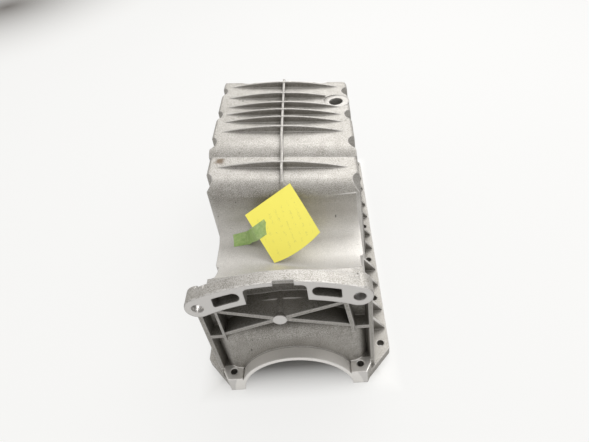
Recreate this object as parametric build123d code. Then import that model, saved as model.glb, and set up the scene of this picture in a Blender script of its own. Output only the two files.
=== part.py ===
from build123d import *
import math
import os

# Engine oil pan, cast aluminium, shown with its gasket rail down and its sump floor up.
# Millimetres. While it is built, X = 0 is the crankshaft's mid-plane, Y = 0 the machined
# bell-housing face and Z = 0 the gasket face of the rail. At the end everything moves
# along Y, so that the origin is the centre of the pan's box, on the gasket face.

# Walls
wall = 5.0
draft = 1.4
rib_width = 3.4

# Gasket rail
overall_length = 486.0
rail_half_width = 122.6
rail_thickness = 12.0
rail_front_y = 6.0
rail_front_half_width = 88.0
rail_corner_y = 46.0
rail_rear_corner = 22.0
rail_corner_radius = 5.0
rail_bolt_edge = 11.1
rail_bolt_first_y = 54.0
rail_bolt_last_back = 52.0
rail_bolt_rows = 6
rail_bolt_hole = 9.0
rear_bolt_inset = 7.5
rear_bolt_spacing = 62.0
bolt_pocket_radius = 16.5
gusset_half_gap = 22.5
gusset_thickness = 4.5
gusset_height = 30.0
gusset_toe = 2.5

# Front chamber with its shallow valley
front_half_width = 102.0
neck_half_width = 97.5
neck_end_y = 119.0
panel_y = 38.0
chest_corner_radius = 8.0
neck_corner_radius = 2.0
roof_below_flange = 4.4
roof_slope = 1.11
roof_fillet = 60.0
valley_height = 113.0
sump_wall_foot_y = 185.0
valley_fillet = 27.0

# Relief in the roof's left corner, which leaves room for the flange bolt's head
relief_x = 74.0
relief_end_y = 84.0
relief_shelf_height = 164.0
relief_floor_height = 134.0

# Deep sump
sump_half_width = 109.8
sump_rear_gap = 14.0
sump_near_height = 188.0
sump_far_height = 198.0
sump_crease_y = 256.0
sump_step_length = 27.0
sump_shoulder_radius = 24.0
sump_edge_radius = 6.5
sump_corner_radius = 14.0
floor_tilt = 0.115

# Stiffening ribs across and along the sump floor
cross_ribs_from_rear = (27.2, 64.9, 95.1, 117.8, 139.9, 167.1)
near_rib_from_crease = 27.4
cross_rib_height = 10.0
cross_rib_half_span = 90.0
cross_rib_root_flare = 2.2
keel_rib_height = 9.0
keel_rib_width = 3.4
keel_start_back = 5.0
keel_end_gap = 7.0

# Drain boss
drain_x = 84.0
drain_from_rear = 71.5
drain_face_height = 187.0
drain_face_radius = 20.0
drain_boss_radius = 21.5
drain_boss_depth = 20.0
drain_thread_radius = 11.2

# Bell-housing flange
crank_height = -9.3
flange_thickness = 17.0
flange_bolt_x = 86.0
flange_bolt_height = 183.0
flange_bolt_hole = 13.5
flange_band = 28.0
flange_lobe_step = 3.0
lobe_swell = 0.6
lobe_start_y = 2.0
slot_inner_x = 38.0
slot_outer_x = 68.0
slot_height = 14.0
slot_corner_radius = 2.0
window_half_width = 33.0
window_top_gap = 5.0
window_corner_radius = 6.0
notch_centre_x = 10.0
notch_width = 22.0
notch_depth = 3.0

# Recess behind the flange, with its crossed ribs
recess_floor_height = 101.0
fin_front_y = 22.0
fin_top_height = 170.0
fin_step = 1.5
fin_root = 8.0
web_head_height = 174.5
left_web_x = -77.5
right_web_foot_x = 77.7
right_web_head_x = 68.0
head_block_step = 6.0
head_block_foot_height = 154.0
head_block_top_height = 168.0
cross_x = -2.0
cross_height = 153.0
post_end_radius = 7.75
post_neck_radius = 4.6
post_flare_length = 8.0
brace_foot_height = 106.0
brace_head_height = 151.0
brace_front_y = 3.0
brace_end_y = 19.5
lip_rib_radius = 166.0
lip_rib_half_width = 66.0
lip_rib_front_y = 27.0

# Nose round the rear main seal, with its arch and two tabs
nose_half_width = 94.0
nose_front_y = 22.0
nose_brow_radius = 17.0
nose_corner_radius = 24.0
arch_radius = 71.7
arch_lip = 5.0
arch_front_y = 5.3
tab_x = 82.0
tab_y = 17.0
tab_height = 26.0
tab_hole = 9.0
tab_half_width = 13.5
tab_pad_corner = 6.0

# Paper note and the strip of tape that holds it
note_side = 76.0
note_thickness = 0.3
note_edge = (0.46, -0.665, -0.588)
note_facing = (-0.197, -0.722, 0.663)
note_corner_x = -18.5
note_corner_back = 63.8
note_lift = 1.0
tape_on_note = 20.0
tape_place = -7.5
tape_foot_x = -61.0
tape_foot_length = 17.5
tape_foot_back = 17.0
tape_foot_lift = 3.8
tape_foot_turn = 16.0
tape_width = 19.0
tape_thickness = 0.2

# Values that follow from the sizes above
tall = 2 * sump_far_height
flange_bolt_radius = math.hypot(flange_bolt_x, flange_bolt_height - crank_height)
flange_outer_radius = flange_bolt_radius + flange_band / 2
flange_inner_radius = flange_bolt_radius - flange_band / 2
flange_top_height = crank_height + flange_outer_radius
roof_start_height = flange_top_height - roof_below_flange
sump_rear_y = overall_length - sump_rear_gap
drain_y = sump_rear_y - drain_from_rear
keel_start_y = sump_wall_foot_y + keel_start_back
rail_bolt_x = rail_half_width - rail_bolt_edge
rail_bolt_pitch = (overall_length - rail_bolt_last_back - rail_bolt_first_y) / (rail_bolt_rows - 1)
rail_bolt_ys = [rail_bolt_first_y + rail_bolt_pitch * row for row in range(rail_bolt_rows)]
cross_rib_roots = [sump_crease_y - near_rib_from_crease] + [sump_rear_y - back for back in cross_ribs_from_rear]
tilt_angle = math.degrees(math.atan(floor_tilt))
lean = math.tan(math.radians(draft))
skin_gap = 0.4


def floor_height(y):
    """Height of the sump's outer floor on the mid-plane, at the place y."""
    step_end = sump_crease_y + sump_step_length
    if y <= sump_crease_y:
        return sump_near_height
    if y >= step_end:
        return sump_far_height
    return sump_near_height + (sump_far_height - sump_near_height) * (y - sump_crease_y) / sump_step_length


def side_profile_solid(profile, half_width, slope=0.0):
    """Extrudes a profile drawn in Y and Z across X, rising to the left by the slope."""
    start = Pos(-half_width, 0, slope * half_width) * (Plane.YZ * profile)
    length = 2 * half_width * math.hypot(1, slope)
    return extrude(start, amount=length, dir=(1, 0, -slope))


def across(radius, y_low, y_high, height=crank_height, x=0.0):
    """A round bar along Y."""
    bar = Cylinder(radius, y_high - y_low, rotation=(90, 0, 0))
    return Pos(x, (y_low + y_high) / 2, height) * bar


def upright(radius, x, y, z_low, z_high):
    """A round bar along Z."""
    return Pos(x, y, (z_low + z_high) / 2) * Cylinder(radius, z_high - z_low)


def slab(x_low, x_high, y_low, y_high, z_low, z_high):
    """A block given by its limits."""
    centre = ((x_low + x_high) / 2, (y_low + y_high) / 2, (z_low + z_high) / 2)
    return Pos(*centre) * Box(x_high - x_low, y_high - y_low, z_high - z_low)


def front_plate(sketch, y_low, y_high):
    """Extrudes a sketch drawn in X and Z, as seen from the front, from y_low to y_high."""
    return extrude(Pos(0, y_low, 0) * (Plane.XZ * sketch), amount=y_low - y_high)


def tapered_block(half_width, y_low, y_high, corner):
    """A drafted block standing on the gasket face, for the walls of one chamber."""
    plan = Pos(0, (y_low + y_high) / 2) * Rectangle(2 * half_width, y_high - y_low)
    plan = fillet(plan.vertices(), corner)
    return extrude(plan, amount=tall, taper=draft)


def bolt_pockets(inset):
    """Bars that leave room for a socket above the sump's rail bolts, thicker inside by the wall."""
    radius = bolt_pocket_radius + inset
    low = rail_thickness - inset
    sump_ys = [y for y in rail_bolt_ys if y > sump_wall_foot_y]
    bars = [upright(radius, side * rail_bolt_x, y, low, tall) for y in sump_ys for side in (-1, 1)]
    rear_y = overall_length - rear_bolt_inset
    for place in (-1, 0, 1):
        bars.append(upright(radius, place * rear_bolt_spacing, rear_y, low, tall))
    return bars


def valley_profile():
    """Side profile of the front chamber: roof down from the flange, valley, rise to the sump."""
    roof_run = (roof_start_height - valley_height) / roof_slope
    wall_top_y = sump_wall_foot_y + lean * sump_near_height
    inside_y = wall_top_y + 3 * wall
    upper = FilletPolyline(
        (flange_thickness - 1, roof_start_height),
        (flange_thickness - 1 + roof_run, valley_height),
        (sump_wall_foot_y, valley_height),
        (wall_top_y, sump_near_height - sump_shoulder_radius),
        (inside_y, sump_near_height - sump_shoulder_radius),
        radius=[roof_fillet, valley_fillet, 0],
    )
    roof_drop = wall * math.hypot(1, roof_slope)
    panel_top = roof_start_height - roof_drop - roof_slope * (panel_y - flange_thickness + 1)
    lower = Polyline(
        upper @ 1,
        (inside_y, -valley_height),
        (panel_y, -valley_height),
        (panel_y, panel_top),
        (flange_thickness - 1, roof_start_height - roof_drop),
        (flange_thickness - 1, roof_start_height),
    )
    return make_face(Curve() + [upper, lower])


def sump_profile():
    """Side profile of the deep sump: steep front wall, shoulder, near level, step and far level."""
    foot_y = sump_wall_foot_y - skin_gap
    rear_y = sump_rear_y + skin_gap
    step_end_y = sump_crease_y + sump_step_length
    rise = sump_far_height - sump_near_height
    front = FilletPolyline(
        (foot_y, -valley_height),
        (foot_y, 0),
        (foot_y + lean * sump_near_height, sump_near_height),
        (sump_crease_y, sump_near_height),
        radius=[0, sump_shoulder_radius],
    )
    half = math.atan2(rise, sump_step_length)
    bow_radius = math.hypot(rise, sump_step_length) / 2 / math.sin(half)
    bow_mid = (
        step_end_y - bow_radius * math.sin(half),
        sump_far_height - bow_radius * (1 - math.cos(half)),
    )
    step = ThreePointArc((sump_crease_y, sump_near_height), bow_mid, (step_end_y, sump_far_height))
    rear = FilletPolyline(
        (step_end_y, sump_far_height),
        (rear_y - lean * sump_far_height, sump_far_height),
        (rear_y, 0),
        (rear_y, -valley_height),
        (foot_y, -valley_height),
        radius=[sump_edge_radius / 2, 0, 0],
    )
    return make_face(Curve() + [front, step, rear])


def chamber_pair(inset):
    """The front chamber and the sump: their outside with no inset, their hollow with the wall."""
    valley = valley_profile()
    sump = sump_profile()
    if inset:
        valley = offset(valley, amount=-inset)
        sump = offset(sump, amount=-inset)
    front_start_y = panel_y if inset else flange_thickness - 1
    inner_end_y = sump_wall_foot_y + 6 * wall
    chest = tapered_block(front_half_width - inset, neck_end_y + inset, inner_end_y, chest_corner_radius + inset)
    neck = tapered_block(neck_half_width - inset, front_start_y, inner_end_y, neck_corner_radius)
    sump_walls = tapered_block(
        sump_half_width - inset, sump_wall_foot_y + inset, sump_rear_y - inset, sump_corner_radius - inset
    )
    front_walls = chest + neck
    if inset:
        front_walls = front_walls + Pos(0, 0, -inset) * front_walls
        sump_walls = sump_walls + Pos(0, 0, -inset) * sump_walls
    front = side_profile_solid(valley, 2 * front_half_width) & front_walls
    rear = side_profile_solid(sump, 2 * sump_half_width, floor_tilt) & sump_walls
    return front, rear


def rounded_sump(body):
    """Rounds the long upper edges of the sump, where its floor turns into its walls."""
    split_y = sump_crease_y
    spans = (
        (sump_near_height, sump_wall_foot_y - wall, split_y),
        (sump_far_height, split_y, overall_length),
    )
    envelope = []
    for height, y_low, y_high in spans:
        left_height = height + floor_tilt * sump_half_width
        right_height = height - floor_tilt * sump_half_width
        outline = Polyline(
            (-sump_half_width, 0),
            (sump_half_width, 0),
            (sump_half_width - lean * right_height, right_height),
            (-sump_half_width + lean * left_height, left_height),
            close=True,
        )
        section = make_face(outline)
        section = fillet(section.vertices().sort_by(Axis.Y)[-2:], sump_edge_radius)
        envelope.append(front_plate(section, y_low, y_high))
    return body & (envelope[0] + envelope[1])


def nose():
    """Solid outline of the low front wall that carries the arch."""
    block = slab(-nose_half_width, nose_half_width, nose_front_y, panel_y + 2 * wall, 0, recess_floor_height)
    brow = block.edges().filter_by(Axis.X).group_by(Axis.Y)[0].sort_by(Axis.Z)[-1]
    block = fillet(brow, nose_brow_radius)
    corners = block.edges().filter_by(Axis.Z).group_by(Axis.Y)[0]
    return fillet(corners, nose_corner_radius)


def nose_hollow():
    """What is taken out of the nose from inside and below."""
    half = nose_half_width - wall
    hollow = slab(
        -half, half, nose_front_y + wall, panel_y + 3 * wall, -wall, recess_floor_height - wall
    )
    brow = hollow.edges().filter_by(Axis.X).group_by(Axis.Y)[0].sort_by(Axis.Z)[-1]
    hollow = fillet(brow, nose_brow_radius - wall)
    corners = hollow.edges().filter_by(Axis.Z).group_by(Axis.Y)[0]
    return fillet(corners, nose_corner_radius - wall)


def rail():
    """The gasket rail as a plate, before its middle is opened."""
    outline = Polyline(
        (-rail_front_half_width, rail_front_y),
        (rail_front_half_width, rail_front_y),
        (rail_half_width, rail_corner_y),
        (rail_half_width, overall_length - rail_rear_corner),
        (rail_half_width - rail_rear_corner, overall_length),
        (-rail_half_width + rail_rear_corner, overall_length),
        (-rail_half_width, overall_length - rail_rear_corner),
        (-rail_half_width, rail_corner_y),
        close=True,
    )
    plate = make_face(outline)
    plate = fillet(plate.vertices(), rail_corner_radius)
    return extrude(plate, amount=rail_thickness)


def gussets():
    """Three-cornered gussets on both sides of each pocket, from the wall to the rail's edge."""
    inner_x = front_half_width - 3 * wall
    outer_x = rail_half_width - gusset_toe
    base = rail_thickness - 1
    slope_foot = front_half_width - 1
    outline = Polyline(
        (inner_x, base),
        (outer_x, base),
        (outer_x, base + 3),
        (slope_foot, base + gusset_height),
        (inner_x, base + gusset_height),
        close=True,
    )
    right = front_plate(make_face(outline), 0, gusset_thickness)
    left = mirror(right, about=Plane.YZ)
    pieces = []
    for y in rail_bolt_ys:
        for offset_y in (-gusset_half_gap, gusset_half_gap):
            place = y + offset_y
            if place > rail_corner_y + 2 * gusset_thickness and place < sump_rear_y - 2 * gusset_thickness:
                pieces += [Pos(0, place, 0) * right, Pos(0, place, 0) * left]
    return pieces


def cross_ribs():
    """Crescent ribs: a section with flared roots, turned about an axis deep below the floor."""
    sagitta = cross_rib_height
    radius = (cross_rib_half_span**2 + sagitta**2) / (2 * sagitta)
    half = rib_width / 2
    flare = cross_rib_root_flare
    deep = 3.0
    pieces = []
    for root_y in cross_rib_roots:
        middle_y = root_y + half + flare
        floor = floor_height(middle_y)
        base = radius - sagitta
        section = Curve() + [
            Polyline(
                (-half - flare, base - deep), (-half - flare, base)
            ),
            ThreePointArc(
                (-half - flare, base),
                (-half - flare * 0.29, base + flare * 0.29),
                (-half, base + flare),
            ),
            Polyline((-half, base + flare), (-half + 0.4, radius), (half - 0.4, radius), (half, base + flare)),
            ThreePointArc(
                (half, base + flare),
                (half + flare * 0.29, base + flare * 0.29),
                (half + flare, base),
            ),
            Polyline(
                (half + flare, base),
                (half + flare, base - deep),
                (-half - flare, base - deep),
            ),
        ]
        band = revolve(Plane.YZ * make_face(section), axis=Axis.Y, revolution_arc=360)
        span = math.sqrt(radius**2 - (base - deep / 2) ** 2)
        window = slab(-span, span, -2 * half - 2 * flare, 2 * half + 2 * flare, base - deep, radius + 1)
        crescent = band & window
        crescent = Pos(0, middle_y, floor - base) * crescent
        turn = Pos(0, 0, floor) * Rot(0, tilt_angle, 0) * Pos(0, 0, -floor)
        pieces.append(turn * crescent)
    return pieces


def keel_rib():
    """The rib along the mid-plane, which follows the floor and fades out at the shoulder."""
    step_end_y = sump_crease_y + sump_step_length
    deep = 2.5
    outline = Polyline(
        (keel_start_y, sump_near_height - sump_shoulder_radius / 2),
        (keel_start_y + 8, sump_near_height + 1),
        (cross_rib_roots[0] - 8, sump_near_height + keel_rib_height),
        (sump_crease_y - 6, sump_near_height + keel_rib_height),
        (step_end_y, sump_far_height + keel_rib_height),
        (sump_rear_y - keel_end_gap - 5, sump_far_height + keel_rib_height),
        (sump_rear_y - keel_end_gap, sump_far_height + 1),
        (sump_rear_y - keel_end_gap, sump_far_height - deep),
        (step_end_y, sump_far_height - deep),
        (sump_crease_y, sump_near_height - deep),
        (keel_start_y + sump_shoulder_radius, sump_near_height - deep),
        close=True,
    )
    return side_profile_solid(make_face(outline), keel_rib_width / 2)


def flange():
    """The bell-housing flange: a curved band with round ends, two slots and a thin-topped window."""
    centre = (0, crank_height)
    half_angle = math.degrees(math.asin(flange_bolt_x / flange_bolt_radius))
    middle = CenterArc(centre, flange_bolt_radius, 90 - half_angle, 2 * half_angle)
    band = SlotArc(middle, flange_band)
    slot_band = Pos(*centre) * (
        Circle(flange_bolt_radius + slot_height / 2) - Circle(flange_bolt_radius - slot_height / 2)
    )
    slots = Sketch()
    for side in (-1, 1):
        centre_x = side * (slot_inner_x + slot_outer_x) / 2
        strip = Pos(centre_x, flange_bolt_height) * Rectangle(slot_outer_x - slot_inner_x, 4 * flange_band)
        slot = slot_band & strip
        ends = slot.vertices().sort_by(Axis.X)
        inner, outer = (ends[:2], ends[2:]) if side > 0 else (ends[2:], ends[:2])
        slot = fillet(outer, slot_corner_radius)
        inner_ends = [v for v in slot.vertices() if abs(abs(v.X) - slot_inner_x) < 0.5]
        slots += fillet(inner_ends, slot_height / 2 - 0.6)
    window_roof = flange_outer_radius - window_top_gap
    window = Pos(*centre) * (Circle(window_roof) - Circle(flange_inner_radius - flange_band))
    window = window & (Pos(0, flange_bolt_height) * Rectangle(2 * window_half_width, 4 * flange_band))
    window = fillet(window.vertices().sort_by(Axis.Y)[-2:], window_corner_radius)
    plate = front_plate(band - slots - window, 0, flange_thickness)
    lobes = Sketch()
    bores = Sketch()
    for side in (-1, 1):
        lobes += Pos(side * flange_bolt_x, flange_bolt_height) * Circle(flange_band / 2 + lobe_swell)
        bores += Pos(side * flange_bolt_x, flange_bolt_height) * Circle(flange_bolt_hole / 2)
    plate = plate + front_plate(lobes, lobe_start_y, flange_thickness + flange_lobe_step)
    plate = plate - front_plate(bores, -1, panel_y)
    notch = slab(
        notch_centre_x - notch_width / 2,
        notch_centre_x + notch_width / 2,
        -1,
        notch_depth,
        flange_bolt_height,
        2 * flange_bolt_height,
    )
    return plate - notch


def brace(end_x, end_height):
    """One arm of the crossed ribs: from the post outwards, deepest at the post."""
    run = Vector(end_x - cross_x, 0, end_height - cross_height)
    outline = Polyline(
        (0, panel_y + 1),
        (0, brace_front_y),
        (post_end_radius, brace_front_y),
        (run.length, brace_end_y),
        (run.length, panel_y + 1),
        close=True,
    )
    plane = Plane(origin=(cross_x, 0, cross_height), x_dir=run, z_dir=run.cross(Vector(0, 1, 0)))
    return extrude(plane * make_face(outline), amount=wall / 2, both=True)


def fin_and_head(fin_outer):
    """The right side wall of the recess, and the block that ties the flange's lobe to it."""
    back_y = panel_y + 2 * wall
    plan = Polyline(
        (fin_outer, fin_front_y),
        (fin_outer, back_y),
        (fin_outer - fin_root, back_y),
        (fin_outer - fin_root, panel_y),
        (fin_outer - wall, fin_front_y),
        close=True,
    )
    side = Polyline(
        (fin_front_y, 0),
        (fin_front_y, fin_top_height),
        (fin_front_y + 2 * wall, fin_top_height),
        (back_y, fin_top_height - 6 * wall),
        (back_y, 0),
        close=True,
    )
    fin = extrude(make_face(plan), amount=fin_top_height) & side_profile_solid(make_face(side), 2 * fin_outer)
    head = slab(
        flange_bolt_x + head_block_step,
        fin_outer,
        flange_thickness,
        fin_front_y + 2 * wall,
        head_block_foot_height,
        head_block_top_height,
    )
    return fin + head


def web(foot_x, head_x):
    """A wall of the recess that stands between the ledge and the flange, upright or leaning."""
    low = recess_floor_height - wall
    half = wall / 2
    outline = Polyline(
        (foot_x - half, low),
        (foot_x + half, low),
        (head_x + half, web_head_height),
        (head_x - half, web_head_height),
        close=True,
    )
    return front_plate(make_face(outline), flange_thickness, panel_y + wall)


def recess_structure():
    """Everything between the flange and the panel: fins, webs, ledges, braces, post and lip rib."""
    fin_outer = front_half_width - fin_step
    fin = fin_and_head(fin_outer)
    pieces = [fin, mirror(fin, about=Plane.YZ)]
    pieces += [web(left_web_x, left_web_x), web(right_web_foot_x, right_web_head_x)]
    for inner_x, outer_x in ((left_web_x, -fin_outer), (right_web_foot_x, fin_outer)):
        low_x, high_x = sorted((inner_x, outer_x))
        pieces.append(
            slab(
                low_x, high_x, fin_front_y, panel_y + wall, recess_floor_height - wall, recess_floor_height
            )
        )
    for height in (brace_foot_height, brace_head_height):
        share = (height - recess_floor_height) / (web_head_height - recess_floor_height)
        right_x = right_web_foot_x + (right_web_head_x - right_web_foot_x) * share
        pieces += [brace(left_web_x, height), brace(right_x, height)]
    post = across(post_neck_radius, post_flare_length, panel_y + 1, cross_height, cross_x)
    flare = Cone(post_neck_radius, post_end_radius, post_flare_length - 1, rotation=(90, 0, 0))
    flare = Pos(cross_x, (post_flare_length + 1) / 2, cross_height) * flare
    tip = across(post_end_radius, 0, 1, cross_height, cross_x)
    pieces += [post, flare, tip]
    ring = Pos(0, crank_height) * (Circle(lip_rib_radius) - Circle(lip_rib_radius - wall))
    ring = ring & (Pos(0, lip_rib_radius) * Rectangle(2 * lip_rib_half_width, 2 * flange_band))
    pieces.append(front_plate(ring, lip_rib_front_y, panel_y + 1))
    return pieces


def arch_and_tabs():
    """The half round seal housing with its lip, and the two bolt tabs at its feet."""
    outer = arch_radius + arch_lip
    lip = across(outer, arch_front_y, nose_front_y + wall)
    lip = lip & slab(-outer, outer, 0, panel_y, 0, outer)
    pieces = [lip]
    for side in (-1, 1):
        plan = Polyline(
            (arch_radius - 2, arch_front_y),
            (tab_x + tab_half_width - tab_pad_corner, arch_front_y),
            (tab_x + tab_half_width, arch_front_y + 2 * tab_pad_corner),
            (tab_x + tab_half_width, nose_front_y + wall),
            (arch_radius - 2, nose_front_y + wall),
            close=True,
        )
        tab = extrude(make_face(plan), amount=tab_height)
        pad = slab(
            nose_half_width - nose_corner_radius,
            front_half_width - fin_step - wall / 2,
            nose_front_y,
            panel_y + wall,
            0,
            tab_height,
        )
        tab = tab + (pad - nose_hollow())
        pieces.append(tab if side > 0 else mirror(tab, about=Plane.YZ))
    return pieces


def drain_boss():
    """The boss that carries the drain thread, standing in the floor's right edge."""
    low = drain_face_height - drain_boss_depth
    return upright(drain_boss_radius, drain_x, drain_y, low, drain_face_height)


def crown_shell(radius):
    """The round skin that joins the flange to the roof's sheet, up to the panel."""
    start_y = flange_thickness - 1
    end_y = panel_y + 1
    ring = Pos(0, crank_height) * (Circle(radius) - Circle(radius - wall))
    ring = front_plate(ring, start_y, end_y)
    under_roof = Polyline(
        (start_y, recess_floor_height),
        (start_y, roof_start_height),
        (end_y, roof_start_height - roof_slope * (end_y - start_y)),
        (end_y, recess_floor_height),
        close=True,
    )
    limits = tapered_block(neck_half_width, start_y, end_y + wall, neck_corner_radius)
    return ring & side_profile_solid(make_face(under_roof), 2 * front_half_width) & limits


def bolt_relief(inset):
    """What the relief takes from the roof's left corner, larger by the wall for the hollow."""
    top = 2 * sump_far_height
    step_y = panel_y + wall
    profile = Polyline(
        (flange_thickness, relief_shelf_height),
        (step_y, relief_shelf_height),
        (step_y, relief_floor_height),
        (relief_end_y, relief_floor_height),
        (relief_end_y, top),
        (flange_thickness, top),
        close=True,
    )
    profile = make_face(profile)
    if inset:
        profile = offset(profile, amount=inset, kind=Kind.INTERSECTION)
    block = side_profile_solid(profile, 2 * front_half_width)
    return block & slab(-3 * front_half_width, inset - relief_x, 0, 2 * relief_end_y, 0, 2 * top)


def casting():
    """The oil pan's casting: outer solids joined, hollow and holes taken out."""
    front, rear = chamber_pair(0)
    rear = rounded_sump(rear)
    crown_radius = flange_outer_radius - 2
    front = front & across(crown_radius, 0, sump_wall_foot_y + 8 * wall)
    front = (front + crown_shell(crown_radius)) - bolt_relief(0)
    body = front + rear + nose() + rail()
    body = body - bolt_pockets(0)
    body = body + gussets()
    front_hollow, rear_hollow = chamber_pair(wall)
    front_hollow = front_hollow & across(crown_radius - wall, 0, sump_wall_foot_y + 8 * wall)
    front_hollow = front_hollow - bolt_relief(wall)
    hollow = front_hollow + rear_hollow + nose_hollow()
    hollow = hollow - bolt_pockets(wall)
    body = body + cross_ribs() + keel_rib()
    body = body + drain_boss()
    body = body - hollow
    body = body + recess_structure() + flange() + arch_and_tabs()
    body = body + (drain_boss() & rear)
    holes = [across(arch_radius, -1, panel_y - 1)]
    bolt_room_y = flange_thickness + 2 * wall
    holes += [
        across(flange_bolt_hole / 2, -1, bolt_room_y, flange_bolt_height, side * flange_bolt_x) for side in (-1, 1)
    ]
    holes += [upright(tab_hole / 2, side * tab_x, tab_y, -1, tall) for side in (-1, 1)]
    holes += [
        upright(rail_bolt_hole / 2, side * rail_bolt_x, y, -1, tall) for y in rail_bolt_ys for side in (-1, 1)
    ]
    rear_y = overall_length - rear_bolt_inset
    holes += [upright(rail_bolt_hole / 2, place * rear_bolt_spacing, rear_y, -1, tall) for place in (-1, 0, 1)]
    holes.append(upright(drain_face_radius, drain_x, drain_y, drain_face_height - 0.5, tall))
    holes.append(upright(drain_thread_radius, drain_x, drain_y, drain_face_height - 2 * drain_boss_depth, tall))
    body = body - holes
    return body


def note_plane():
    """Plane of the note: its low corner stands on the valley floor, short of the sump's wall."""
    along = Vector(*note_edge).normalized()
    facing = Vector(*note_facing)
    facing = (facing - along * facing.dot(along)).normalized()
    side = facing.cross(along)
    low_corner = Vector(note_corner_x, sump_wall_foot_y - note_corner_back, valley_height + note_lift)
    centre = low_corner - along * (note_side / 2) + side * (note_side / 2)
    return Plane(origin=centre, x_dir=along, z_dir=facing)


def paper_note():
    """The square note, which leans from the valley floor up to the sump's shoulder."""
    return extrude(note_plane() * Rectangle(note_side, note_side), amount=note_thickness)


def tape_strip():
    """The tape: one end flat on the note, then over its edge and down onto the valley's fillet."""
    plane = note_plane()
    strip = Rectangle(tape_width, tape_thickness)
    lift = note_thickness + tape_thickness / 2 + note_lift / 10
    edge = note_side / 2
    on_note = [(tape_place, -edge + tape_on_note), (tape_place, -edge)]
    sections = []
    for along, side in on_note:
        middle = plane.from_local_coords(Vector(along, side, lift))
        sections.append(Plane(origin=middle, x_dir=plane.x_dir, z_dir=plane.y_dir) * strip)
    slope = math.radians(tape_foot_turn)
    tangent = Vector(0, -math.cos(slope), -math.sin(slope))
    foot_y = sump_wall_foot_y - tape_foot_back
    foot_height = valley_height + tape_foot_lift
    for x in (tape_foot_x, tape_foot_x - tape_foot_length):
        middle = Vector(x, foot_y, foot_height)
        sections.append(Plane(origin=middle, x_dir=tangent, z_dir=(1, 0, 0)) * strip)
    return loft(sections, ruled=True)


if __name__ == "__main__":
    os.makedirs("parts", exist_ok=True)
    to_origin = Pos(0, -overall_length / 2, 0)
    pan = to_origin * casting()
    print("casting solids", len(pan.solids()), "volume", round(pan.volume), pan.bounding_box())
    export_step(pan, "parts/oil_pan_casting.step")
    export_step(to_origin * paper_note(), "parts/paper_note.step")
    export_step(to_origin * tape_strip(), "parts/tape_strip.step")
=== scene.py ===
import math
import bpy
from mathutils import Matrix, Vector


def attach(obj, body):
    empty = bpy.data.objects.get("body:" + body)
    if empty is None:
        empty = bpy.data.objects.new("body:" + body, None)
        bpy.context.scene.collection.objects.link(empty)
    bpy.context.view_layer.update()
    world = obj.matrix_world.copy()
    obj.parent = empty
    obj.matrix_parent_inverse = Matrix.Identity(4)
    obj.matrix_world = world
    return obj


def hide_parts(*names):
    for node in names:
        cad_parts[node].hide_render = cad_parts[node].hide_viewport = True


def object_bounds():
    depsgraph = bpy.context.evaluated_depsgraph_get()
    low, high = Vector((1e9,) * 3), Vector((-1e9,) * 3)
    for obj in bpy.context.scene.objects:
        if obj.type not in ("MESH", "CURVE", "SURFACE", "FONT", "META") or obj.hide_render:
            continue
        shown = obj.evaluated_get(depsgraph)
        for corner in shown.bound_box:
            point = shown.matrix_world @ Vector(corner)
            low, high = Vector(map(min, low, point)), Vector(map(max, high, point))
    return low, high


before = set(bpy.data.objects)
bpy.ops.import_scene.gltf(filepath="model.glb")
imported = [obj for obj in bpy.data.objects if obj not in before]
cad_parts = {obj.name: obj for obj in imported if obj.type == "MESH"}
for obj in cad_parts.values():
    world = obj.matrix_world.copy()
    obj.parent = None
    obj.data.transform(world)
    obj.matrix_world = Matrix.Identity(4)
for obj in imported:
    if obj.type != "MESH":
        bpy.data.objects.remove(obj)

# %% [markdown]
# # An engine oil pan with a taped paper note
#
# The pan is one aluminium casting that lies with its gasket rail down. Its shape comes whole
# from the CAD model, which is loaded above as a fixed frame, so this lesson is about looks: a
# camera that stands where the photographer stood, a white studio, one rich material for raw
# and machined aluminium, and two thin soft pieces, the note and its tape, which are bent here
# because a CAD plate is too stiff for paper. Everything is in metres.

cad_box = [list(corner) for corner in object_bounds()]
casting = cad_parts["oil_pan_casting"]
cad_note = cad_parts["paper_note"]
cad_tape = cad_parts["tape_strip"]
mm = 0.001
print("CAD box:", cad_box)

# %% [markdown]
# ## Camera
#
# The camera's place and turn were worked out from edges and bolt holes in the photograph,
# with the usual size of such a paper note as the scale. It could be turned by three angles,
# but a matrix says the same more plainly: a camera in Blender looks along its own -Z with +Y
# up, so its matrix takes the picture's right, the picture's up and the way back as its three
# columns. The lens follows from the focal length in pixels and the width of the picture.

# %% Camera
picture_width = 589
focal_pixels = 481.6
camera_place = Vector((0.0720, -0.5551, 0.5806))
picture_right = Vector((0.9915, 0.0063, -0.1299)).normalized()
view_direction = Vector((-0.0925, 0.7360, -0.6706)).normalized()
picture_up = picture_right.cross(view_direction).normalized()

camera_data = bpy.data.cameras.new("photographer")
camera_data.sensor_width = 36.0
camera_data.lens = focal_pixels * camera_data.sensor_width / picture_width
camera_data.clip_start = 0.02
camera = bpy.data.objects.new("photographer", camera_data)
bpy.context.scene.collection.objects.link(camera)
turn = Matrix((picture_right, picture_up, -view_direction)).transposed()
camera.matrix_world = Matrix.Translation(camera_place) @ turn.to_4x4()
bpy.context.scene.camera = camera
print("camera lens:", round(camera_data.lens, 2), "mm")

# %% [markdown]
# ## Shader tools
#
# A procedural material is mostly sums: a mask is a distance that is cut off, a colour is two
# colours mixed by a mask. They could be drawn node by node in the editor, but written as sums
# they can be read. Two small classes make that possible. Value wraps an output socket, so
# that Python's own signs add the Math nodes.

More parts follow.
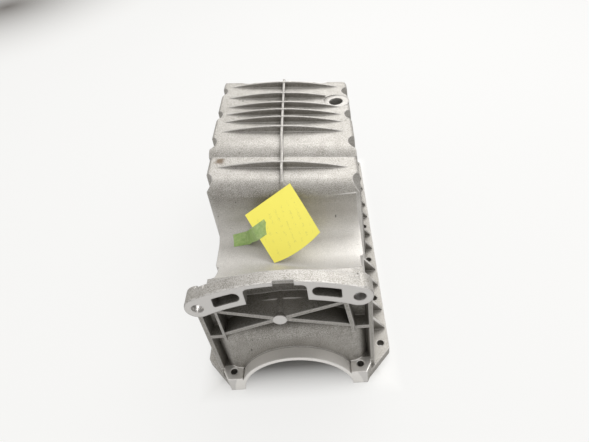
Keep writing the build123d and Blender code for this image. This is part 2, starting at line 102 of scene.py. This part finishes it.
# %% Sums of sockets
class Value:
    """An output socket of a shader that can be used in sums."""

    def __init__(self, finish, socket):
        self.finish = finish
        self.socket = socket

    def math(self, operation, *others, clamp=False):
        inputs = {place: other for place, other in enumerate((self, *others))}
        return self.finish.node("Math", {"operation": operation, "use_clamp": clamp}, inputs)

    def __add__(self, other):
        return self.math("ADD", other)

    def __radd__(self, other):
        return self.math("ADD", other)

    def __mul__(self, other):
        return self.math("MULTIPLY", other)

    def __rmul__(self, other):
        return self.math("MULTIPLY", other)

    def __sub__(self, other):
        return self.math("SUBTRACT", other)

    def __rsub__(self, other):
        return self.finish.node("Math", {"operation": "SUBTRACT"}, {0: other, 1: self})

    def __truediv__(self, other):
        return self.math("DIVIDE", other)

    def __rtruediv__(self, other):
        return self.finish.node("Math", {"operation": "DIVIDE"}, {0: other, 1: self})

    def __abs__(self):
        return self.math("ABSOLUTE")

    def __pow__(self, power):
        return self.math("POWER", power)

    def clamped(self):
        return self.math("ADD", 0.0, clamp=True)

    def or_else(self, other):
        return self.math("MAXIMUM", other)


print("sums of sockets ready")

# %% [markdown]
# Finish is one material. Its node method makes every node that a sum can't: it takes the
# node's kind, its settings, and the values or links of its sockets. The methods after it are
# the few shapes that a mask is built from: cloudy noise, a step and a band.

# %% One way to make a node
class Finish:
    """One material, whose nodes all come from the node method."""

    def __init__(self, name):
        self.material = bpy.data.materials.new(name)
        self.material.use_nodes = True
        self.tree = self.material.node_tree
        self.tree.nodes.clear()

    def node(self, kind, settings=None, inputs=None, out=0):
        made = self.tree.nodes.new("ShaderNode" + kind)
        for key, value in (settings or {}).items():
            setattr(made, key, value)
        for key, value in (inputs or {}).items():
            if isinstance(value, Value):
                self.tree.links.new(value.socket, made.inputs[key])
            else:
                made.inputs[key].default_value = value
        return made if out is None else Value(self, made.outputs[out])

    def place(self):
        return self.node("TexCoord", out="Object")

    def axes(self, vector):
        first = self.node("SeparateXYZ", inputs={0: vector})
        return [Value(self, socket) for socket in first.socket.node.outputs]

    def noise(self, vector, size, detail=3.0, rough=0.6):
        """Cloudy noise whose blots are about the given size in metres."""
        return self.node(
            "TexNoise", None, {"Vector": vector, "Scale": 1 / size, "Detail": detail, "Roughness": rough}
        )

    def distance(self, first, second):
        """The length of the way from one place to another."""
        return self.node("VectorMath", {"operation": "DISTANCE"}, {0: first, 1: second}, out="Value")

    def above(self, value, limit, soft):
        """A mask that is 1 where value is over the limit."""
        return ((value - limit) / soft + 0.5).clamped()

    def near(self, value, centre, reach, soft=0.0002):
        """A mask that is 1 where value is within reach of centre."""
        return ((reach - abs(value - centre)) / soft + 0.5).clamped()

    def mix(self, mask, first, second):
        """A colour that turns from first to second as the mask goes from 0 to 1."""
        return self.node("Mix", {"data_type": "RGBA"}, {0: mask, 6: first, 7: second}, out=2)

    def output(self, shader):
        self.node("OutputMaterial", inputs={"Surface": shader}, out=None)
        return self.material


print("shader tools ready")

# %% [markdown]
# ## Paper floor
#
# The pan lies on white paper that fills the picture, so there is no horizon. A sheet that is
# only lit would turn grey or clip as the lamps change. So the lens and the metal see it
# mostly as white, whatever light falls on it, and the rest of its colour is lit, so that it
# keeps the pan's soft shadow. Under the pan all of it is lit, and a painted shadow darkens its
# colour there, for the dark gradient below the arch. One far corner of the paper has a painted shade.

# %% Paper floor
floor_side = 9.0
floor_drop = 0.2 * mm
floor_colour = (0.80, 0.797, 0.785, 1.0)
shade_colour = (0.16, 0.15, 0.14, 1.0)
white_share = 0.89
white_colour = (0.905, 0.902, 0.89, 1.0)
shade_place = Vector((-1.32, 1.68, 0.0))
shade_reach = 0.82
contact_depth = 36 * mm
contact_fade = 48 * mm
painted_shadow_start = -14 * mm
painted_shadow_fade = 38 * mm
painted_shadow_share = 0.9

bpy.ops.object.select_all(action="DESELECT")
bpy.ops.mesh.primitive_plane_add(size=floor_side, location=(0, 0, -floor_drop))
floor = bpy.context.object
floor.name = "studio_floor"
paper = Finish("white_paper_floor")
# Painted shade: the paper's colour darkens near its far corner, and less of it is seen as white there.
shaded = (1.0 - paper.distance(paper.place(), shade_place) / shade_reach).clamped()
floor_x, floor_y, _ = paper.axes(paper.place())
outside = (abs(floor_x) - cad_box[1][0]).or_else(abs(floor_y) - cad_box[1][1])
open_floor = ((outside + contact_depth) / contact_fade).clamped()
# Painted shadow: the paper's colour darkens under the pan.
painted_shadow = ((painted_shadow_start - outside) / painted_shadow_fade).clamped()
paper_with_painted_shade = paper.mix(shaded.or_else(painted_shadow * painted_shadow_share), floor_colour, shade_colour)
lit = paper.node(
    "BsdfPrincipled",
    None,
    {"Base Color": paper_with_painted_shade, "Roughness": 0.85, "Specular IOR Level": 0.2},
)
white = paper.node("Emission", None, {"Color": white_colour, "Strength": 1.0})
seen = paper.node("LightPath", out="Is Camera Ray")
ray_kinds = seen.socket.node.outputs
for kind in ("Is Glossy Ray", "Is Transmission Ray"):
    seen = seen.or_else(Value(paper, ray_kinds[kind]))
whiteness = seen * open_floor * (1.0 - shaded) * white_share
floor.data.materials.append(paper.output(paper.node("MixShader", None, {0: whiteness, 1: lit, 2: white})))
print("paper floor of", floor_side, "m, shaded within", shade_reach, "m of its far corner")

# %% [markdown]
# ## Light
#
# The photograph was taken under soft light. The upper faces of the pan are pale, and the
# faces toward the lens are darker, because metal mirrors what lies behind it. One small lamp
# would give hard glints, so one broad lamp stands high behind the pan and a weaker one to its
# right, and an even sky gives most of the light.

# %% Lamps and sky
sky_colour = (1.0, 0.99, 0.975, 1.0)
sky_level = 0.95
lamps = {
    "lamp_behind": (Vector((0.35, 1.05, 1.32)), 1.2, 19.0),
    "lamp_right": (Vector((0.90, 0.15, 1.35)), 0.9, 8.0),
}
for name, (lamp_place, lamp_side, lamp_power) in lamps.items():
    lamp_data = bpy.data.lights.new(name, "AREA")
    lamp_data.shape = "SQUARE"
    lamp_data.size = lamp_side
    lamp_data.energy = lamp_power
    lamp = bpy.data.objects.new(name, lamp_data)
    bpy.context.scene.collection.objects.link(lamp)
    lamp.location = lamp_place
    lamp.rotation_euler = (-lamp_place).to_track_quat("-Z", "Y").to_euler()

world = bpy.data.worlds.new("pale_room")
world.use_nodes = True
bpy.context.scene.world = world
sky = world.node_tree.nodes["Background"]
sky.inputs["Color"].default_value = sky_colour
sky.inputs["Strength"].default_value = sky_level
bpy.context.scene.view_settings.view_transform = "Standard"
print("studio:", len(lamps), "lamps and a sky of", sky_level)

# %% [markdown]
# ## Raw and machined aluminium
#
# The casting has one raw skin and several machined faces. Each face could get a material of
# its own, but its edge would have to be cut into the mesh. Here one material tells them
# apart by where they are, with plain distances in the object's own coordinates.
# These are the places that it needs: the flange's bolts and depth, the crankshaft's height,
# about which the flange and the arch are round, the two low tabs and the drain.

# %% Places on the casting
half_length = cad_box[1][1]
front_y = cad_box[0][1]
flange_bolt = Vector((86.0, 0.0, 183.0)) * mm
flange_bore = 7.2 * mm
flange_depth = 20.5 * mm
flange_radius = 224.65 * mm
crank_height = -9.3 * mm
arch_radius = 71.7 * mm
arch_depth = 40 * mm
arch_top = 80 * mm
arch_front_y = front_y + 5.3 * mm
tab_height = 26.0 * mm
tab_depth = 26 * mm
drain = Vector((84.0, 157.5, 187.0)) * mm
drain_seat = 20.1 * mm
drain_seat_depth = 22 * mm
drain_bore = 11.6 * mm
drain_bore_depth = 24 * mm
thread_pitch = 1.5 * mm
print("casting from y", round(front_y, 4), "to", round(half_length, 4))

# %% [markdown]
# A sand-cast skin is matt and grainy: each grain of the mould leaves a dimple about a
# millimetre wide, and the skin is mottled with lighter and darker metal. Three noises of
# different size do that, and a Voronoi texture adds scattered pits. Corners of a casting are
# never sharp. They could be bevelled in the mesh, but the CAD mesh stays as it is, so the
# Bevel node rounds the normals, and where it turns them most, along ribs and roots, the skin
# is made brighter: rubbed wear on the ribs and a painted highlight on ribs and roots. Ambient
# Occlusion finds the hollows, where a brown painted shade goes.

# %% Grain, edges and hollows
grain_size = 1.1 * mm
fleck_size = 3.5 * mm
mottle_size = 14 * mm
cloud_size = 60 * mm
pit_spacing = 16 * mm
pit_radius = 0.055
corner_round = 2.4 * mm
edge_gain = 7.0
hollow_reach = 45 * mm

cast = Finish("cast_aluminium")
place = cast.place()
x, y, z = cast.axes(place)
fine = cast.noise(place, grain_size, detail=4.0, rough=0.65)
fleck = cast.noise(place, fleck_size, detail=2.0)
coarse = cast.noise(place, mottle_size, detail=3.0)
cloud = cast.noise(place, cloud_size, detail=2.0)
pits = cast.node("TexVoronoi", {"feature": "F1"}, {"Vector": place, "Scale": 1 / pit_spacing})
pit_mask = 1.0 - cast.above(pits, pit_radius, 0.02)

rounded = cast.node("Bevel", {"samples": 6}, {"Radius": corner_round})
surface = cast.node("NewGeometry", out="Normal")
facing = cast.node("VectorMath", {"operation": "DOT_PRODUCT"}, {0: rounded, 1: surface}, out="Value")
# Bright edges are partly rubbed wear and partly a painted highlight, on ribs and in roots.
edge = ((1.0 - facing) * edge_gain).clamped()
shade = cast.node("AmbientOcclusion", {"samples": 8}, {"Distance": hollow_reach}, out="AO")
crevice = 1.0 - shade
print("grain of", grain_size / mm, "mm, corners rounded by", corner_round / mm, "mm")

# %% [markdown]
# Machined faces are smooth and brighter: the flange's face, the gasket face, the arch's rim
# and bore, the tabs' pads, the bolt bores and, a little, the drain's seat. A flat one is a
# thin band of one coordinate, and a round one is a band of the distance from its axis.

# %% Machined faces
cut_depth = 0.3 * mm
bore_cut_depth = 0.5 * mm
cut_edge = 1 * mm
seat_brightness = 0.15


def distance_to(first, first_centre, second, second_centre):
    """Distance from an axis, given the two coordinates across it."""
    return ((first - first_centre) ** 2.0 + (second - second_centre) ** 2.0).math("SQRT")


face_mask = cast.near(y, front_y, cut_depth)
gasket_mask = cast.near(z, 0.0, cut_depth)
rim_mask = cast.near(y, arch_front_y, cut_depth) * (1.0 - cast.above(z, arch_top, cut_edge))
in_tab = 1.0 - cast.above(y, front_y + tab_depth, cut_edge)
pad_mask = cast.near(z, tab_height, cut_depth) * in_tab
in_flange = 1.0 - cast.above(y, front_y + flange_depth, cut_edge)
bore_distance = distance_to(abs(x), flange_bolt.x, z, flange_bolt.z)
bore_mask = cast.near(bore_distance, 0.0, flange_bore) * in_flange
drain_distance = distance_to(x, drain.x, y, drain.y)
in_seat = cast.above(z, drain.z - drain_seat_depth, cut_edge)
seat_mask = cast.near(drain_distance, 0.0, drain_seat) * in_seat
in_thread = cast.above(z, drain.z - drain_bore_depth, cut_edge)
thread_mask = cast.near(drain_distance, 0.0, drain_bore) * in_thread
arch_distance = distance_to(x, 0.0, z, crank_height)
in_arch = 1.0 - cast.above(y, front_y + arch_depth, cut_edge)
arch_mask = cast.near(arch_distance, arch_radius, bore_cut_depth) * in_arch
machined = face_mask.or_else(gasket_mask).or_else(rim_mask).or_else(pad_mask)
machined = machined.or_else(bore_mask).or_else(seat_mask * seat_brightness).or_else(arch_mask)
print("masks of the machined faces made, in metres from the frame")

# %% [markdown]
# Parts of the raw skin differ too. Along the flange's round edge a broken line of flash is
# left where the two halves of the mould met. The far top edge of the sump is rough and
# pitted. The valley in the middle and the ring round the arch get a painted light, paler
# than the rest. A noise breaks up the first two, so that they don't look painted on.

# %% Marks of the mould and painted light
flash_inset = 1.3 * mm
flash_reach = 1.2 * mm
flash_start = flange_radius - 1.5 * mm
far_reach = 24 * mm
far_height = 190 * mm
valley_y = -110 * mm
valley_reach = 75 * mm
valley_top = 158 * mm
valley_low = 20 * mm
ring_radius = arch_radius + 6 * mm
ring_reach = 7 * mm

flash = cast.near(y, front_y + flash_inset, flash_reach, 0.5 * mm)
flash = flash * cast.above(arch_distance, flash_start, cut_edge) * cast.above(fleck, 0.5, 0.08)
far_skin = cast.above(y, half_length - far_reach, 10 * mm) * cast.above(z, far_height, 22 * mm)
far_skin = far_skin * cast.above(fleck, 0.53, 0.2)
under_top = 1.0 - cast.above(z, valley_top, 30 * mm)
# Painted light: the valley's skin is made paler.
valley_painted_light = cast.near(y, valley_y, valley_reach, 30 * mm) * under_top
valley_painted_light = valley_painted_light * cast.above(z, valley_low, 10 * mm)
# Painted light: the ring round the arch is made paler.
arch_ring_painted_light = cast.near(arch_distance, ring_radius, ring_reach, 2 * mm) * in_flange
print("masks of the raw skin made")

# %% [markdown]
# The masks are now turned into colour. The grain mixes two greys, the crevices get a brown
# painted shade, and the machined faces are laid over both. The order matters: what is mixed in
# last covers what came before.

# %% Colours of the aluminium
light_metal = (0.44, 0.423, 0.40, 1.0)
dark_metal = (0.205, 0.195, 0.172, 1.0)
bright_metal = (0.62, 0.605, 0.59, 1.0)
painted_light_metal = (0.78, 0.76, 0.73, 1.0)
hollow_shade_brown = (0.075, 0.065, 0.045, 1.0)
pit_grey = (0.07, 0.066, 0.06, 1.0)

grain_middle = 0.38
grain_gain = 4.4
mottle_gain = 0.7
cloud_gain = 0.5
hollow_shade_gain = 1.6
hollow_shade_start = 0.55
hollow_shade_share = 0.8
valley_light_share = 0.42
edge_wear_and_highlight_share = 0.55
pit_share = 0.7
far_share = 0.6
flash_share = 0.5
arch_ring_light_share = 0.8

grains = (fine - grain_middle) * grain_gain
grain_mask = (grains + (coarse - 0.5) * mottle_gain + (cloud - 0.5) * cloud_gain).clamped()
# Painted shade: the hollows that Ambient Occlusion finds are darkened to brown.
hollow_painted_shade = (crevice * hollow_shade_gain - hollow_shade_start).clamped() * hollow_shade_share
skin = cast.mix(grain_mask, dark_metal, light_metal)
skin = cast.mix(valley_painted_light * valley_light_share, skin, painted_light_metal)
# Painted highlight and rubbed wear along the rounded edges.
skin = cast.mix(edge * edge_wear_and_highlight_share, skin, bright_metal)
skin = cast.mix(hollow_painted_shade, skin, hollow_shade_brown)
skin = cast.mix((pit_mask * pit_share).or_else(far_skin * far_share), skin, pit_grey)
skin = cast.mix(flash * flash_share, skin, bright_metal)
smooth_metal = cast.mix((fine * 0.5).clamped(), bright_metal, light_metal)
skin = cast.mix(machined, skin, smooth_metal)
# Painted light: the ring round the arch and the tabs' pads are laid over with paler metal.
skin = cast.mix((arch_ring_painted_light * arch_ring_light_share).or_else(pad_mask), skin, painted_light_metal)
print("skin mixed from", len(cast.tree.nodes), "nodes so far")

# %% [markdown]
# One rust-brown stain sits at the left end of the floor's step, as in the photograph, and its
# edge is broken up by the coarse noise. Four small nicks are dark spots, drawn out in height,
# at the places where the photograph shows them. They could be dents in the mesh, but each is
# only a few millimetres long, and the CAD mesh is never changed.

# %% Stain and nicks
stain_brown = (0.10, 0.065, 0.035, 1.0)
stain_centre = Vector((-89.0, 3.5, 198.2)) * mm
stain_reach = 7 * mm
stain_ragged = 12 * mm
stain_strength = 0.85
nick_shade_strength = 0.85
nick_shape = (1.6, 1.0, 0.6)
nicks = {
    "nose": (Vector((-51.7, -221.0, 65.3)) * mm, 1.5 * mm),
    "left_web": (Vector((-93.0, -207.6, 66.4)) * mm, 1.6 * mm),
    "far_floor": (Vector((-66.8, 158.8, 205.7)) * mm, 2.2 * mm),
    "valley": (Vector((67.5, -57.8, 129.7)) * mm, 1.4 * mm),
}

ragged = cast.distance(place, stain_centre) + (coarse - 0.5) * stain_ragged
stain = (1.0 - cast.above(ragged, stain_reach, 6 * mm)) * stain_strength
skin = cast.mix(stain, skin, stain_brown)
# Painted shade: each nick is a dark spot in place of the shade in a small dent.
for centre, reach in nicks.values():
    away = cast.node("VectorMath", {"operation": "SUBTRACT"}, {0: place, 1: centre})
    away = cast.node("VectorMath", {"operation": "MULTIPLY"}, {0: away, 1: nick_shape})
    length = cast.node("VectorMath", {"operation": "LENGTH"}, {0: away}, out="Value")
    skin = cast.mix(cast.near(length, 0.0, reach, 0.8 * mm) * nick_shade_strength, skin, pit_grey)
print("one stain and", len(nicks), "nicks")

# %% [markdown]
# The relief is a Bump node over the rounded normals: dimples where the skin is raw, and a
# fine thread in the drain's bore, which is a sine along the axis. The metal isn't a perfect
# mirror: its oxide skin scatters light, so Metallic stays under 1 and the raw skin is rough.

# %% Relief and shine
metallic = 0.78
raw_roughness = 0.52
cut_polish = 0.20
edge_polish = 0.08
grain_roughness = 0.08
bump_strength = 0.55
bump_depth = 0.6 * mm
grain_relief = 0.25
pit_relief = 0.3
flash_relief = 0.6
far_relief = 0.5
thread_relief = 0.5

grain_bump = fine * (1.0 - machined) * grain_relief - pit_mask * pit_relief
grain_bump = grain_bump + flash * flash_relief - far_skin * far_relief
thread = (z * (2 * math.pi / thread_pitch)).math("SINE") * thread_mask * thread_relief
bump = cast.node(
    "Bump",
    None,
    {
        "Strength": bump_strength,
        "Distance": bump_depth,
        "Height": grain_bump + thread,
        "Normal": rounded,
    },
)
roughness = raw_roughness - machined * cut_polish - edge * edge_polish + fine * grain_roughness
metal = cast.node(
    "BsdfPrincipled",
    None,
    {"Base Color": skin, "Metallic": metallic, "Roughness": roughness, "Normal": bump},
)
aluminium = cast.output(metal)
for slot in casting.material_slots:
    slot.material = aluminium
print("cast aluminium on", len(casting.material_slots), "slot")

# %% [markdown]
# ## Skins where the roof meets the flange
#
# In the CAD solid the roof stops 4 mm behind the flange, and the holes of the two low tabs
# run on up through the flange's back. Neither is so on a real pan, where the metal flows from
# one into the other. A Boolean could join them, but the CAD mesh is never changed, so three
# small cast skins close the gaps. Each is a grid whose points are laid on the form by a
# formula and which is then given its depth by one extrusion.

# %% Fresh grids
def fresh_grid(name, across, length, steps_across, steps_length):
    """A flat grid at the origin, across along X and length along Y, with a map of its own."""
    bpy.ops.object.select_all(action="DESELECT")
    bpy.ops.mesh.primitive_grid_add(x_subdivisions=steps_across, y_subdivisions=steps_length, size=1)
    grid = bpy.context.object
    grid.name = name
    bpy.ops.object.mode_set(mode="EDIT")
    bpy.ops.transform.resize(value=(across, length, 1))
    bpy.ops.object.mode_set(mode="OBJECT")
    return grid


def cast_skin(name, span_x, span_y, steps, height_at, depth):
    """A piece of cast skin over a patch of the casting, with y from the flange's face."""
    piece = fresh_grid(name, span_x[1] - span_x[0], span_y[1] - span_y[0], *steps)
    for vertex in piece.data.vertices:
        across = vertex.co.x + (span_x[0] + span_x[1]) / 2
        along = vertex.co.y + (span_y[0] + span_y[1]) / 2
        vertex.co = (across, front_y + along, height_at(across, along))
    bpy.ops.object.mode_set(mode="EDIT")
    bpy.ops.mesh.select_all(action="SELECT")
    bpy.ops.mesh.extrude_region_move(TRANSFORM_OT_translate={"value": (0, 0, -depth)})
    bpy.ops.mesh.select_all(action="SELECT")
    bpy.ops.mesh.normals_make_consistent(inside=False)
    bpy.ops.object.mode_set(mode="OBJECT")
    bpy.ops.object.shade_smooth_by_angle(angle=math.radians(35))
    piece.data.materials.clear()
    piece.data.materials.append(aluminium)
    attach(piece, "root")
    print(name, "has", len(piece.data.polygons), "faces")


print("grid tools ready")

# %% [markdown]
# The seam follows the roof's slope or the round crown, whichever is lower, and rises a little
# toward the flange, as the fillet of a casting does. The two covers are patches of the
# flange's own round back.

# %% Skins
roof_start_y = 16 * mm
roof_start_height = 210.95 * mm
roof_slope = 1.11
roof_rise = 2.4 * mm
crown_radius = flange_radius - 2 * mm
crown_rise = 0.7 * mm
seam_x = (-73.9 * mm, 92.4 * mm)
seam_y = (16.9 * mm, 27 * mm)
seam_fade = 10 * mm
seam_depth = 5.5 * mm
seam_lift = 0.15 * mm
tab_x = 82 * mm
cover_reach = 5.4 * mm
cover_y = (11.6 * mm, 16.98 * mm)
cover_depth = 3 * mm
cover_lift = 0.05 * mm


def round_height(across, radius):
    """Height of a cylinder about the crankshaft."""
    return math.sqrt(radius**2 - across**2) + crank_height


def seam_height(across, along):
    """The roof's slope or the round crown, whichever is lower, rising into the flange."""
    slope = roof_start_height - roof_slope * (along - roof_start_y)
    rise = max(0.0, (seam_y[1] - along) / seam_fade) ** 2
    return min(slope + roof_rise * rise, round_height(across, crown_radius) + crown_rise * rise) + seam_lift


def cover_height(across, _):
    """The flange's round back, whatever the place along the pan."""
    return round_height(across, flange_radius) + cover_lift


cast_skin("roof_seam", seam_x, seam_y, (84, 10), seam_height, seam_depth)
for side, name in ((-1, "left_hole_cover"), (1, "right_hole_cover")):
    cover_x = (side * tab_x - cover_reach, side * tab_x + cover_reach)
    cast_skin(name, cover_x, cover_y, (8, 4), cover_height, cover_depth)

# %% [markdown]
# ## Paper note
#
# The note is a square of thin paper that leans from the valley up to the sump's shoulder.
# Its CAD plate is flat, and real paper is not: the corner at the right has sprung up, so the
# lower edge hangs in a curve. A cloth simulation could bend it, but so stiff and small a
# sheet has one plain curve. So a fine grid takes the plate's place and is bent by one short
# sum. The corners are read from the CAD plate, so both stay together.

# %% Note's corners
plate = [vertex.co.copy() for vertex in cad_note.data.vertices]
low_corner = min(plate, key=lambda point: point.z)
top_corner = max(plate, key=lambda point: point.z)
left_corner = min(plate, key=lambda point: point.x)
right_corner = max(plate, key=lambda point: point.x)
note_along = (right_corner - top_corner).normalized()
note_up = (top_corner - left_corner).normalized()
note_facing = note_along.cross(note_up).normalized()
note_side = (top_corner - left_corner).length
note_centre = (low_corner + top_corner) / 2
print("note of", round(note_side / mm, 1), "mm, facing", [round(part, 2) for part in note_facing])

# %% Bent note
note_steps = 36
corner_lift = 5.0 * mm
edge_sag = 4.5 * mm
note_swell = 1.2 * mm
paper_thickness = 0.2 * mm
note_gap = 0.5 * mm

note = fresh_grid("yellow_note", note_side, note_side, note_steps, note_steps)
for vertex in note.data.vertices:
    along, up = vertex.co.x / note_side + 0.5, vertex.co.y / note_side + 0.5
    vertex.co.x += edge_sag * along**2 * 4 * up * (1 - up)
    vertex.co.z += corner_lift * (along * up) ** 2 + note_swell * math.sin(math.pi * up) * along
note_turn = Matrix((note_along, note_up, note_facing)).transposed().to_4x4()
note.data.transform(Matrix.Translation(note_centre + note_facing * note_gap) @ note_turn)
solid = note.modifiers.new("paper", "SOLIDIFY")
solid.thickness = paper_thickness
solid.offset = 1.0
bpy.ops.object.modifier_apply(modifier="paper")
bpy.ops.object.shade_smooth_by_angle(angle=math.radians(40))
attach(note, "root")
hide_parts("paper_note")
print("note has", len(note.data.polygons), "faces")

# %% [markdown]
# Note paper is very slightly fibrous, and its yellow is a little deeper toward the lower edge. Faint
# broken pen strokes that mean nothing stand on it in rows. An image would have to be drawn and
# stored, so they are a band of one coordinate that a noise bends and another noise interrupts.
# They follow the sheet's own map, so that they bend with it.

# %% Rows of strokes
row_pitch = 0.125
row_slant = 0.18
row_wobble = 0.75
row_half_width = 0.05
wobble_scale = 48.0
word_scale = 9.0
written_centre = (0.55, 0.5)
written_reach = (0.36, 0.42)

sheet = Finish("note_paper")
map_place = sheet.node("TexCoord", out="UV")
across_map, up_map, _ = sheet.axes(map_place)
wobble = sheet.node(
    "TexNoise", {"noise_dimensions": "2D"}, {"Vector": map_place, "Scale": wobble_scale, "Detail": 1.0}
)
words = sheet.node(
    "TexNoise", {"noise_dimensions": "2D"}, {"Vector": map_place, "Scale": word_scale, "Detail": 1.0}
)
row_place = (up_map + across_map * row_slant) / row_pitch
row_phase = (row_place + (wobble - 0.5) * row_wobble).math("FRACT")
stroke = sheet.near(row_phase, 0.5, row_half_width, 0.05)
in_height = sheet.near(up_map, written_centre[1], written_reach[1], 0.04)
in_width = sheet.near(across_map, written_centre[0], written_reach[0], 0.05)
strokes = stroke * (sheet.above(words, 0.5, 0.05) * (in_height * in_width))
print("strokes in rows of", round(row_pitch * note_side / mm, 1), "mm")

# %% Note paper
note_yellow = (0.94, 0.86, 0.17, 1.0)
note_yellow_deep = (0.91, 0.82, 0.13, 1.0)
stroke_colour = (0.42, 0.40, 0.12, 1.0)
stroke_strength = 0.35
fibre_size = 1.5 * mm
fibre_depth = 0.1 * mm

fibre = sheet.noise(sheet.place(), fibre_size, detail=4.0)
paper_colour = sheet.mix((fibre * 0.5 + up_map * 0.35).clamped(), note_yellow_deep, note_yellow)
paper_colour = sheet.mix(strokes * stroke_strength, paper_colour, stroke_colour)
paper_bump = sheet.node("Bump", None, {"Strength": 0.15, "Distance": fibre_depth, "Height": fibre})
paper_shade = sheet.node(
    "BsdfPrincipled",
    None,
    {"Base Color": paper_colour, "Roughness": 0.72, "Specular IOR Level": 0.3, "Normal": paper_bump},
)
note.data.materials.clear()
note.data.materials.append(sheet.output(paper_shade))
print("note paper made")

# %% [markdown]
# ## Green tape
#
# The tape lies flat on the note, goes over its edge and is pressed down on the metal. A bent
# box would be far too thick for it. So it is a narrow grid whose rows are laid along a smooth
# path, first straight on the note, then in a curve, then straight along the metal.

# %% Tape's path
tape_width = 19.0 * mm
tape_on_note = 20.0 * mm
tape_place = -9.0 * mm
tape_lift = 0.9 * mm
tape_pull = 7.0 * mm
foot_length = 18.0 * mm
foot_direction = Vector((-1.0, -0.10, -0.12)).normalized()
foot_across = Vector((0.10, -0.955, -0.28)).normalized()
foot_points = 12

tape_points = [vertex.co.copy() for vertex in cad_tape.data.vertices]
foot_end = sorted(tape_points, key=lambda point: point.x)[:foot_points]
foot_middle = sum(foot_end, Vector()) / len(foot_end)
foot_start = foot_middle - foot_direction * foot_length
edge_middle = note_centre + note_along * tape_place - note_up * (note_side / 2)
edge_point = edge_middle + note_facing * tape_lift
tape_start = edge_middle + note_up * tape_on_note + note_facing * tape_lift


def along_tape(share):
    """Place and width direction on the tape, from the note (0) to the foot's end (1)."""
    lengths = ((edge_point - tape_start).length, (foot_start - edge_point).length, foot_length)
    run = share * sum(lengths)
    if run < lengths[0]:
        return tape_start.lerp(edge_point, run / lengths[0]), note_along
    if run < lengths[0] + lengths[1]:
        part = (run - lengths[0]) / lengths[1]
        first = edge_point - note_up * tape_pull
        last = foot_start - foot_direction * tape_pull
        point = (
            edge_point * (1 - part) ** 3
            + first * 3 * part * (1 - part) ** 2
            + last * 3 * part**2 * (1 - part)
            + foot_start * part**3
        )
        ease = part * part * (3 - 2 * part)
        return point, note_along.lerp(foot_across, ease).normalized()
    part = (run - lengths[0] - lengths[1]) / foot_length
    return foot_start.lerp(foot_middle, part), foot_across


print("tape's foot ends at", [round(part, 4) for part in foot_middle])

# %% [markdown]
# The foot is drawn onto the casting by a Shrinkwrap modifier, as a thumb would press it. A
# vertex group says how much each row sticks: nothing on the note, all of it on the metal.

# %% Tape
tape_steps = (8, 40)
tape_skew = 0.05
stuck_from = 0.55
stuck_gain = 6
press_gap = 0.35 * mm
film_thickness = 0.12 * mm

tape = fresh_grid("green_tape", tape_width, 1.0, *tape_steps)
stuck = tape.vertex_groups.new(name="stuck")
for vertex in tape.data.vertices:
    share = 0.5 - vertex.co.y
    slant = tape_skew * (vertex.co.x / tape_width) * (1 - share)
    point, across_tape = along_tape(min(1.0, max(0.0, share + slant)))
    stuck.add([vertex.index], min(1.0, max(0.0, (share - stuck_from) * stuck_gain)), "REPLACE")
    vertex.co = point + across_tape * vertex.co.x
press = tape.modifiers.new("press", "SHRINKWRAP")
press.target = casting
press.offset = press_gap
press.wrap_mode = "ABOVE_SURFACE"
press.vertex_group = "stuck"
bpy.ops.object.modifier_apply(modifier="press")
film = tape.modifiers.new("film", "SOLIDIFY")
film.thickness = film_thickness
film.offset = 1.0
bpy.ops.object.modifier_apply(modifier="film")
bpy.ops.object.shade_smooth_by_angle(angle=math.radians(50))
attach(tape, "root")
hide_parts("tape_strip")
print("tape has", len(tape.data.polygons), "faces")

# %% [markdown]
# The film lets some of what lies under it through, so it is greener over metal and more
# yellow over the note. A glass-like shader would need many more rays, so Alpha does it. A
# little crinkle catches the light, as in film that was pressed by hand, and its raised parts
# get a lighter green as a painted highlight.

# %% Tape film
film_dark = (0.27, 0.42, 0.12, 1.0)
film_highlight_green = (0.46, 0.60, 0.25, 1.0)
film_cover = 0.78
crinkle_size = 4 * mm
crinkle_depth = 0.8 * mm

film_finish = Finish("green_tape")
crinkle = film_finish.noise(film_finish.place(), crinkle_size, detail=4.0)
crinkle_highlight_mask = ((crinkle - 0.3) * 2.5).clamped()
# Painted highlight: the crinkle's raised parts are a lighter green.
film_green = film_finish.mix(crinkle_highlight_mask, film_dark, film_highlight_green)
film_bump = film_finish.node(
    "Bump", None, {"Strength": 0.5, "Distance": crinkle_depth, "Height": crinkle}
)
film_shade = film_finish.node(
    "BsdfPrincipled",
    None,
    {"Base Color": film_green, "Roughness": 0.38, "Alpha": film_cover, "Normal": film_bump},
)
tape.data.materials.clear()
tape.data.materials.append(film_finish.output(film_shade))
print("tape film made")
